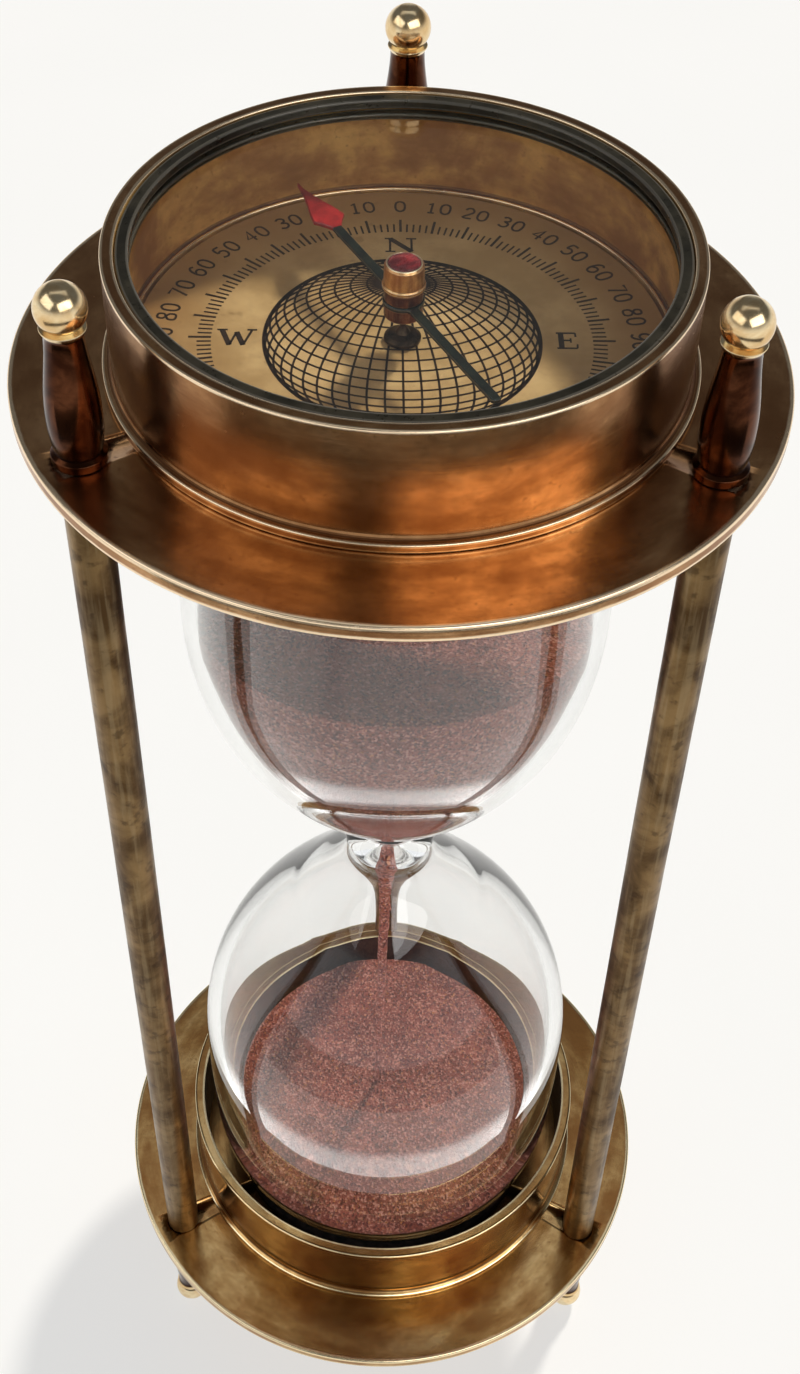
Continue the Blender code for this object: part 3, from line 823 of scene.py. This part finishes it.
def make_crystal(glass, ring_finish):
    """The pane, the ring that it rests on and the dark ring that holds it down."""
    rings = (("crystal_seat_ring", SEAT_BORE, 9.35, 9.95, "aged_brass"),
             ("crystal_retaining_ring", RETAINER_BORE, 11.1, 12.05, "dark_ring"))
    for node, inner, low, high, slot in rings:
        corners = raised(block(inner, RING_R, low, high), LID_TOP)
        turned_piece(node, "turned", corners, (0.2, 0.1), 220, ring_finish, slot)
    corners = raised(block(0, CRYSTAL_R, CRYSTAL_LOW, CRYSTAL_HIGH), LID_TOP)
    turned_piece("compass_crystal", "ground", corners, (0.1, 0.1), 160, glass, "clear_glass")


def make_card(material):
    corners = raised(block(DIAL_HOLE_R, DIAL_R, DIAL_LOW, DIAL_HIGH), LID_TOP)
    turned_piece("dial_card", "paper", corners, (0.06, 0.1), 180, material, "dial_paper")


class Ink:
    """Collects printed strokes as thin closed strips, in the plane of the dial."""

    def __init__(self):
        self.points = []
        self.faces = []

    def strip(self, path, width, close=False):
        """A strip along a path. width is one number or one for each point."""
        count = len(path)
        widths = width if isinstance(width, (list, tuple)) else [width] * count
        first = len(self.points)
        for i, (x, y) in enumerate(path):
            before = path[i - 1] if i or close else path[i]
            after = path[(i + 1) % count] if i + 1 < count or close else path[i]
            run = Vector((after[0] - before[0], after[1] - before[1])).normalized()
            half = Vector((-run.y, run.x)) * widths[i] / 2
            for z in (0.0, INK_T):
                self.points.append((x + half.x, y + half.y, z))
                self.points.append((x - half.x, y - half.y, z))
        last = count if close else count - 1
        for i in range(last):
            a = first + 4 * i
            b = first + 4 * ((i + 1) % count)
            self.faces += [(a, a + 1, b + 1, b), (a + 2, b + 2, b + 3, a + 3),
                           (a, b, b + 2, a + 2), (a + 1, a + 3, b + 3, b + 1)]
        if not close:
            for a in (first, first + 4 * (count - 1)):
                self.faces.append((a, a + 2, a + 3, a + 1))

    def mesh(self, name):
        made = new_mesh(name, [Vector(p) * MM for p in self.points], self.faces)
        turn_out(made)
        return made


def around(radius, angle):
    """A point on the dial; angle is clockwise from north, in degrees."""
    turn = math.radians(angle)
    return radius * math.sin(turn), radius * math.cos(turn)


# Each digit is made of strokes, on a square of side 1.
DIGITS = {
    "0": [[(0.5, 1), (0.16, 0.86), (0.06, 0.5), (0.16, 0.14), (0.5, 0), (0.84, 0.14), (0.94, 0.5),
           (0.84, 0.86), (0.5, 1)]],
    "1": [[(0.25, 0.82), (0.55, 1), (0.55, 0)], [(0.25, 0), (0.85, 0)]],
    "2": [[(0.1, 0.78), (0.28, 0.97), (0.62, 1), (0.86, 0.8), (0.8, 0.55), (0.1, 0), (0.92, 0)]],
    "3": [[(0.12, 0.88), (0.45, 1), (0.8, 0.88), (0.78, 0.64), (0.42, 0.53), (0.86, 0.42),
           (0.86, 0.14), (0.5, 0), (0.1, 0.1)]],
    "4": [[(0.68, 0), (0.68, 1), (0.06, 0.3), (0.95, 0.3)]],
    "5": [[(0.84, 1), (0.24, 1), (0.16, 0.55), (0.5, 0.62), (0.86, 0.48), (0.88, 0.2),
           (0.56, 0), (0.1, 0.08)]],
    "6": [[(0.8, 0.92), (0.5, 1), (0.18, 0.78), (0.08, 0.35), (0.26, 0.04), (0.62, 0), (0.9, 0.22),
           (0.82, 0.5), (0.5, 0.58), (0.12, 0.42)]],
    "7": [[(0.08, 1), (0.92, 1), (0.4, 0)]],
    "8": [[(0.5, 0.54), (0.18, 0.68), (0.22, 0.94), (0.5, 1), (0.78, 0.94), (0.82, 0.68), (0.5, 0.54),
           (0.12, 0.38), (0.14, 0.08), (0.5, 0), (0.86, 0.08), (0.88, 0.38), (0.5, 0.54)]],
    "9": [[(0.88, 0.58), (0.5, 0.42), (0.16, 0.54), (0.1, 0.8), (0.38, 1), (0.74, 0.96),
           (0.92, 0.65), (0.8, 0.2), (0.5, 0), (0.2, 0.08)]],
}

# Each letter is made of bars: (from, to, width), on a square of side 1. The S has a curve too.
LETTERS = {
    "N": [((0.14, 0), (0.14, 1), 0.09), ((0.14, 1), (0.86, 0), 0.22), ((0.86, 0), (0.86, 1), 0.09),
          ((-0.02, 0), (0.32, 0), 0.08), ((-0.04, 1), (0.2, 1), 0.08), ((0.68, 1), (1.02, 1), 0.08)],
    "W": [((0.05, 1), (0.3, 0), 0.2), ((0.3, 0), (0.5, 0.85), 0.09), ((0.5, 0.85), (0.72, 0), 0.2),
          ((0.72, 0), (0.97, 1), 0.09), ((-0.1, 1), (0.22, 1), 0.08), ((0.82, 1), (1.12, 1), 0.08)],
    "E": [((0.2, 0), (0.2, 1), 0.22), ((0.0, 0), (0.88, 0), 0.09), ((0.0, 1), (0.84, 1), 0.09),
          ((0.2, 0.52), (0.62, 0.52), 0.09), ((0.88, 0), (0.9, 0.26), 0.08),
          ((0.84, 1), (0.85, 0.76), 0.08), ((0.62, 0.38), (0.62, 0.66), 0.07)],
    "S": [((0.82, 0.74), (0.84, 1), 0.07), ((0.14, 0.0), (0.14, 0.28), 0.07)],
}
S_CURVE = [(0.84, 0.84), (0.62, 0.99), (0.34, 0.96), (0.18, 0.76), (0.34, 0.58), (0.66, 0.44),
           (0.84, 0.24), (0.66, 0.03), (0.36, 0.01), (0.14, 0.18)]


def smooth_path(path, steps=4):
    """A path through the same points with rounded bends."""
    made = []
    count = len(path)
    for i in range(count - 1):
        nearby = (max(i - 1, 0), i, i + 1, min(i + 2, count - 1))
        p0, p1, p2, p3 = (Vector(path[n]) for n in nearby)
        for k in range(steps):
            t = k / steps
            made.append(0.5 * ((2 * p1) + (p2 - p0) * t + (2 * p0 - 5 * p1 + 4 * p2 - p3) * t * t
                               + (3 * p1 - p0 - 3 * p2 + p3) * t ** 3))
    made.append(Vector(path[-1]))
    return made


def write_number(ink, text, radius, angle, height):
    """Set a number on the scale, its foot towards the middle of the dial."""
    wide = height * 0.62
    gap = height * 0.2
    total = len(text) * wide + (len(text) - 1) * gap
    cos = math.cos(math.radians(-angle))
    sin = math.sin(math.radians(-angle))
    for order, digit in enumerate(text):
        left = -total / 2 + order * (wide + gap)
        for stroke in DIGITS[digit]:
            curved = stroke if digit in "147" else smooth_path(stroke, 3)
            path = []
            for u, v in curved:
                x = left + u * wide
                y = radius - height / 2 + v * height
                path.append((x * cos - y * sin, x * sin + y * cos))
            ink.strip(path, height * 0.13)


def write_letter(ink, letter, radius, angle, width, height):
    """Set a letter upright on the dial."""
    cx, cy = around(radius, angle)
    for a, b, thick in LETTERS[letter]:
        path = [(cx + (u - 0.5) * width, cy + (v - 0.5) * height) for u, v in (a, b)]
        ink.strip(path, thick * min(width, height) * 1.1)
    if letter == "S":
        path = [(cx + (u - 0.5) * width, cy + (v - 0.5) * height) for u, v in smooth_path(S_CURVE)]
        thick = [0.1 + 0.14 * math.sin(math.pi * i / (len(path) - 1)) for i in range(len(path))]
        ink.strip(path, [t * min(width, height) for t in thick])


def place_print(name, ink, material):
    place(f"{name}_print", ink.mesh(name), material, [], "needle_paint",
          at=(0, 0, CARD_TOP), turn=(0, 0, CARD_TURN))


def make_scale(material):
    """Ticks every two degrees, longer ones every ten, and the numbers of each quadrant."""
    ink = Ink()
    for degree in range(0, 360, 2):
        length, width = (2.1, 0.25) if degree % 10 == 0 else (1.3, 0.18)
        ink.strip([around(SCALE_R, degree), around(SCALE_R + length, degree)], width)
    for degree in range(0, 360, 10):
        value = min(degree % 180, 180 - degree % 180)
        write_number(ink, str(value), NUMBER_R, degree, 1.75)
    sizes = {"N": (2.9, 2.2), "E": (2.1, 2.3), "S": (1.9, 2.3), "W": (3.0, 2.3)}
    for quarter, (letter, size) in enumerate(sizes.items()):
        write_letter(ink, letter, LETTER_R, 90 * quarter, *size)
    place_print("dial_scale", ink, material)


def globe_point(latitude, longitude, tilt, radius):
    """A point of a globe tipped towards the viewer, seen flat; None on its far side."""
    lat = math.radians(latitude)
    lon = math.radians(longitude)
    tip = math.radians(tilt)
    x = math.cos(lat) * math.sin(lon)
    y = math.cos(tip) * math.sin(lat) - math.sin(tip) * math.cos(lat) * math.cos(lon)
    z = math.sin(tip) * math.sin(lat) + math.cos(tip) * math.cos(lat) * math.cos(lon)
    return (x * radius, y * radius) if z > 0 else None


GLOBE_TILT = 45
GLOBE_STEP = 7.5  # degrees between its lines
GLOBE_CROWN = 1.6  # the lines stop short of the dial's middle


def make_globe(material):
    """The globe's net of meridians and parallels, and the circle around it."""
    ink = Ink()
    lines = []
    for i in range(int(360 / GLOBE_STEP)):
        lines.append([(latitude, i * GLOBE_STEP) for latitude in range(-86, 84, 3)])
    for i in range(1, int(180 / GLOBE_STEP)):
        lines.append([(-90 + i * GLOBE_STEP, longitude) for longitude in range(0, 364, 4)])
    for line in lines:
        run = []
        for spot in line + [None]:
            point = globe_point(*spot, GLOBE_TILT, GLOBE_R - 0.05) if spot else None
            if point and math.hypot(*point) > GLOBE_CROWN:
                run.append(point)
                continue
            if len(run) > 2:
                ink.strip(run, 0.21)
            run = []
    ink.strip([around(GLOBE_R, a * 3) for a in range(120)], 0.3, close=True)
    place_print("dial_globe", ink, material)


def make_pivot(material):
    """A plug through the card, a stepped foot on it, and a pin with a ground point."""
    foot = [(0, 0.3), (0.6, 0.3), (0.6, 1.15), (1.7, 1.15), (1.7, 1.5), (1.35, 1.75), (0.7, 1.95)]
    corners = foot + [(0.3, 2.6), (PIN_R, 3.2), (PIN_R, PIN_TOP - 0.7), (0.0, PIN_TOP)]
    turned_piece("pivot_post", "turned", raised(corners, LID_TOP), (0.08, 0.08), 48, material, "pin_steel")


ON_NEEDLE = {"body": "needle", "at": (0, 0, LID_TOP), "turn": (0, 0, NEEDLE_HEADING)}
HOLE_SIDES = 32


def make_needle(paint, red):
    """A flat arrow with a leaf-shaped red head, its upper edges eased."""
    half = [(0.02, 21.2), (0.2, 20.2), (0.42, 19.0), (0.85, 17.4), (1.3, 16.0), (1.62, 14.6),
            (1.05, 13.9), (0.62, 13.2), (NEEDLE_HALF, 12.9), (NEEDLE_HALF, 8.0), (NEEDLE_HALF, 2.0)]
    eye = [around(NEEDLE_EYE_R, angle) for angle in range(16, 165, 8)]
    tail = [(NEEDLE_HALF, -2.0), (NEEDLE_HALF, -9.0), (NEEDLE_HALF, 0.2 - NEEDLE_TAIL),
            (0.3, -NEEDLE_TAIL)]
    right = half + eye + tail
    outline = right + [(-x, y) for x, y in reversed(right)]
    inner = []
    count = len(outline)
    for i, (x, y) in enumerate(outline):
        run = Vector(outline[(i + 1) % count]) - Vector(outline[i - 1])
        run.normalize()
        side = math.copysign(0.1, x)
        inner.append((x - side * abs(run.y), y + side * run.x))
    low = NEEDLE_LOW
    high = NEEDLE_LOW + NEEDLE_T
    hole = arc((0, 0), NEEDLE_HOLE_R, 0, 360, HOLE_SIDES)[:-1]
    bm = bmesh.new()
    edge = bm.verts.layers.float.new("edge")

    def ring(path, z):
        return [bm.verts.new((x * MM, y * MM, z * MM)) for x, y in path]
    rows = [ring(outline, low), ring(outline, high - 0.1), ring(inner, high)]
    for a, b in zip(rows, rows[1:]):
        for k in range(count):
            n = (k + 1) % count
            bm.faces.new((a[k], a[n], b[n], b[k]))
    holes = [ring(hole, low), ring(hole, high)]
    for k in range(HOLE_SIDES):
        n = (k + 1) % HOLE_SIDES
        bm.faces.new((holes[0][k], holes[1][k], holes[1][n], holes[0][n]))
    for outer, bore in ((rows[0], holes[0]), (rows[2], holes[1])):
        edges = []
        for loop in (outer, bore):
            edges += [bm.edges.get((v, loop[(i + 1) % len(loop)])) for i, v in enumerate(loop)]
        bmesh.ops.triangle_fill(bm, edges=edges, use_beauty=True)
    bmesh.ops.recalc_face_normals(bm, faces=bm.faces)
    for face in bm.faces:
        face.material_index = 1 if face.calc_center_median().y > NEEDLE_NECK * MM else 0
    mesh = bpy.data.meshes.new("compass_needle")
    for vert in rows[1]:
        vert[edge] = 1.0
    bm.to_mesh(mesh)
    bm.free()
    mesh.materials.append(paint)
    mesh.materials.append(red)
    place("compass_needle_arrow", mesh, paint, ["compass_needle"], "needle_paint", **ON_NEEDLE)


def make_cap(brass, bush_shade, red):
    """The cap: a bush above and below the needle, darkened as painted shade, a bright cup on it and its
    jewel.
    """
    cup = [(0, 8.6), (CAP_BORE, 8.6), (CAP_BORE, 6.85), (1.86, 6.85), (1.98, 6.95), (1.98, 7.2),
           (1.86, 7.35), (1.8, 9.1), (1.62, 9.35), (1.5, 9.35), (1.5, 8.9), (0, 8.9)]
    bush = [(CAP_BORE, 3.95), (1.78, 3.95), (1.78, 5.2), (1.1, 5.2), (1.1, 5.65), (1.78, 5.65),
            (1.78, 6.8), (CAP_BORE, 6.8)]
    turned_piece("needle_cap", "turned", cup, (0.08, 0.1), 64, brass, "aged_brass", **ON_NEEDLE)
    mesh = turned_mesh("needle_bush", soften(bush, 0.08, 0.1), 64)
    place("needle_bush_turned", mesh, bush_shade, [], "aged_brass", **ON_NEEDLE)
    dome = curve((JEWEL_R, 9.3), (1.4, 9.5), (0.8, 9.68), (0, 9.7), 10)
    mesh = turned_mesh("cap_jewel", unmarked([(0, 8.95), (JEWEL_R, 8.95)] + dome), 48)
    for vertex in mesh.vertices:
        if vertex.co.z > 9.2 * MM:
            vertex.co.z += 0.00008 * noise.noise(vertex.co * 1400)
    place("cap_jewel_set", mesh, red, ["cap_jewel"], "jewel_red", **ON_NEEDLE)


# ---- floor and light

def make_floor():
    """A pale glowing sweep. The glass sees rings of its front brighter."""
    s = Shade("floor")
    radius = s.radius()
    near = s.band(radius, *NEAR_RING)
    far = s.band(radius, *FAR_RING)
    front = s.remap(s.axes(s.place)["Y"], 0.012, -0.012)
    rings = s.times(s.plus(near, s.times(far, FAR_SHARE)), front)
    glass_only = s.node("ShaderNodeLightPath").outputs["Is Transmission Ray"]
    glow = s.plus(s.times(s.times(rings, glass_only), GLASS_GLOW), FLOOR_GLOW)
    cloud = s.remap(s.noise(6, 3, 0.5), 0.3, 0.7)
    s.surface(Base_Color=s.mix(cloud, (0.30, 0.30, 0.295), (0.32, 0.32, 0.315)), Roughness=0.8,
              Emission_Color=(1.0, 1.0, 0.99), Emission_Strength=glow)
    bm = bmesh.new()
    bmesh.ops.create_grid(bm, x_segments=8, y_segments=8, size=4)
    mesh = bpy.data.meshes.new("floor")
    bm.to_mesh(mesh)
    bm.free()
    mesh.materials.append(s.owner)
    floor = add("floor", mesh)
    floor.location = (0, 0, -0.0002)  # a hair under the feet


def make_flag():
    """A low dark card curving round the front, seen by the polished metal only."""
    s = Shade("flag")
    cloud = s.noise(20, 3, 0.5)
    s.surface(Base_Color=s.mix(cloud, (0.02, 0.02, 0.02), (0.035, 0.032, 0.03)), Roughness=0.9)
    points = []
    for i in range(FLAG_STEPS + 1):
        angle = math.radians(FLAG_REACH * (2 * i / FLAG_STEPS - 1))
        spot = (FLAG_R * math.sin(angle), -FLAG_R * math.cos(angle))
        points += [(*spot, FLAG_LOW), (*spot, FLAG_HIGH)]
    faces = [(2 * i, 2 * i + 2, 2 * i + 3, 2 * i + 1) for i in range(FLAG_STEPS)]
    mesh = new_mesh("flag", points, faces)
    mesh.materials.append(s.owner)
    flag = add("flag", mesh)
    for ray in ("camera", "diffuse", "transmission", "shadow"):
        setattr(flag, f"visible_{ray}", False)


def make_sky():
    """Bright low down and darker above, so that the crystal stays clear, with a rear skylight.

    Glass sees a brighter low sky, and the camera sees a plain pale backdrop.
    """
    world = bpy.data.worlds.new("studio")
    bpy.context.scene.world = world
    s = Shade("studio", world)
    xyz = s.axes(s.place)
    ray = s.node("ShaderNodeLightPath").outputs
    low = s.remap(xyz["Z"], 0.02, 0.38, 0.85, 0.12)
    through_glass = s.times(s.remap(xyz["Z"], 0.25, 0.42, 0.95, 0.0), ray["Is Transmission Ray"])
    overhead = s.times(s.remap(xyz["Z"], 0.78, 0.88, 0.0, 0.6), s.remap(xyz["Y"], -0.1, 0.2))
    strength = s.math("MAXIMUM", s.math("MAXIMUM", low, through_glass), overhead)
    room = s.node("ShaderNodeBackground", {"Color": (0.97, 0.98, 1.0), "Strength": strength})
    seen = s.node("ShaderNodeBackground", {"Color": (0.9, 0.9, 0.89)})
    s.finish(s.node("ShaderNodeMixShader", {
        0: ray["Is Camera Ray"], 1: room.outputs[0], 2: seen.outputs[0]}))


def make_lamp(name, kind, azimuth, rise):
    """A lamp turned towards the timer, and the direction that it stands in."""
    side = math.radians(azimuth)
    up = math.radians(rise)
    back = Vector((math.sin(side) * math.cos(up), -math.cos(side) * math.cos(up), math.sin(up)))
    lamp = add(name, bpy.data.lights.new(name, kind))
    lamp.rotation_euler = back.to_track_quat("Z", "Y").to_euler()
    return lamp, back


def make_windows():
    """Two wide windows in front, which light only what shines."""
    width, height = WINDOW_SIZE
    for name, azimuth, radiance in WINDOWS:
        lamp, back = make_lamp(name, "AREA", azimuth, WINDOW_RISE)
        lamp.data.shape = "RECTANGLE"
        lamp.data.size = width
        lamp.data.size_y = height
        lamp.data.energy = radiance * math.pi * width * height
        lamp.location = Vector(AIM) + back * WINDOW_AWAY
        lamp.visible_diffuse = False


def make_sun():
    """A low soft sun from behind, with no reflection of its own."""
    sun, _ = make_lamp("key", "SUN", azimuth=152, rise=33)
    sun.data.energy = 4.6
    sun.data.angle = math.radians(7)
    sun.data.color = (1.0, 0.95, 0.86)
    sun.visible_glossy = False
    sun.visible_transmission = False


# ---- assembly

make_camera()
upper_brass = aged_brass("aged_brass", (0.72, 0.44, 0.225), (0.56, 0.315, 0.145), (0.30, 0.14, 0.055),
                         (0.95, 0.74, 0.50), 0.2)
lower_brass = aged_brass("base_brass", (0.84, 0.62, 0.32), (0.70, 0.45, 0.18), (0.36, 0.17, 0.055),
                         (0.97, 0.80, 0.50), 0.17)
cap_brass = aged_brass("cap_brass", (0.95, 0.70, 0.36), (0.85, 0.54, 0.24), (0.50, 0.24, 0.10),
                       (0.98, 0.84, 0.60), 0.34, 420)
# a dark copy of the cap's brass for the bush: painted shade around the needle
shaded_bush_brass = aged_brass("shaded_bush_brass", (0.40, 0.20, 0.12), (0.24, 0.10, 0.055), (0.10, 0.03, 0.02),
                        (0.55, 0.32, 0.18), 0.28, 420, 0.4)
# a brighter, half-diffuse copy of the brass for the drum's inner wall: painted light for light the wall
# does not get
painted_light_wall_brass = aged_brass("painted_light_wall_brass", (1.0, 0.66, 0.21), (0.90, 0.52, 0.15), (0.44, 0.20, 0.05),
                        (0.95, 0.76, 0.45), 0.3, 110, 0.3, 0.5)
# a near-black copy of the brass for the collars' inner walls: painted shade
painted_shade = plain_patina("painted_shade_brass", (0.012, 0.007, 0.005), (0.055, 0.032, 0.018), 180, 0.5, 0.8)
# its pale corner tone is partly wear and partly a painted highlight on the ring's rounded edges
dark_ring = plain_patina("dark_ring", (0.018, 0.016, 0.010), (0.06, 0.052, 0.035), 160, 0.33, 0.5,
                         worn=(0.12, 0.11, 0.09))
cork = plain_patina("cork", (0.25, 0.13, 0.06), (0.52, 0.34, 0.19), 500, 0.85, 0.0, 0.0002)
# felt for the cushions, made near-black as painted shade for the hollow inside the collars
shaded_felt = plain_patina("shaded_felt", (0.014, 0.008, 0.006), (0.05, 0.028, 0.022), 900, 0.95, 0.0, 0.0002)
ink = plain_patina("dial_ink", (0.016, 0.008, 0.004), (0.035, 0.016, 0.008), 700, 0.6, 0.0, 0.00001)
steel = plain_patina("pin_steel", (0.020, 0.013, 0.008), (0.10, 0.065, 0.040), 600, 0.4, 0.9)
paint = plain_patina("needle_paint", (0.004, 0.007, 0.005), (0.012, 0.02, 0.014), 700, 0.4, 0.1,
                     worn=(0.10, 0.085, 0.05))
arrow_red = plain_patina("arrow_red", (0.26, 0.008, 0.010), (0.46, 0.022, 0.022), 700, 0.42, 0.0)
jewel_red = plain_patina("jewel_red", (0.10, 0.006, 0.010), (0.30, 0.02, 0.025), 900, 0.3, 0.0)

make_plate("bottom_plate", BASE_LOW, BASE_TOP, lower_brass)
make_plate("top_plate", LID_LOW, LID_TOP, upper_brass)
make_rods(rod_brass())
make_finials(finial_brass())
make_collar("lower_collar", BASE_TOP + GAP, BASE_TOP + LOWER_COLLAR_HEIGHT, lower_brass, painted_shade)
make_collar("upper_collar", LID_LOW - GAP, LID_LOW - UPPER_COLLAR_HEIGHT, lower_brass, painted_shade)
make_glass(clear_glass("clear_glass", (0.985, 0.995, 0.99), 0.02))
make_stopper(cork)
make_cushions(shaded_felt)
make_sand(rose_sand("rose_sand"))
# the falling thread gets a brighter copy of the sand: painted light, as it hangs in the top plate's shade
make_stream(rose_sand("lit_falling_sand", 1.7))
make_drum(upper_brass, painted_light_wall_brass)
make_crystal(clear_glass("crystal_glass", (0.97, 0.985, 0.97)), dark_ring)
make_card(dial_paper())
make_scale(ink)
make_globe(ink)
make_pivot(steel)
make_needle(paint, arrow_red)
make_cap(cap_brass, shaded_bush_brass, jewel_red)
make_floor()
make_flag()
make_sky()
make_windows()
make_sun()
bpy.context.scene.view_settings.view_transform = "Standard"
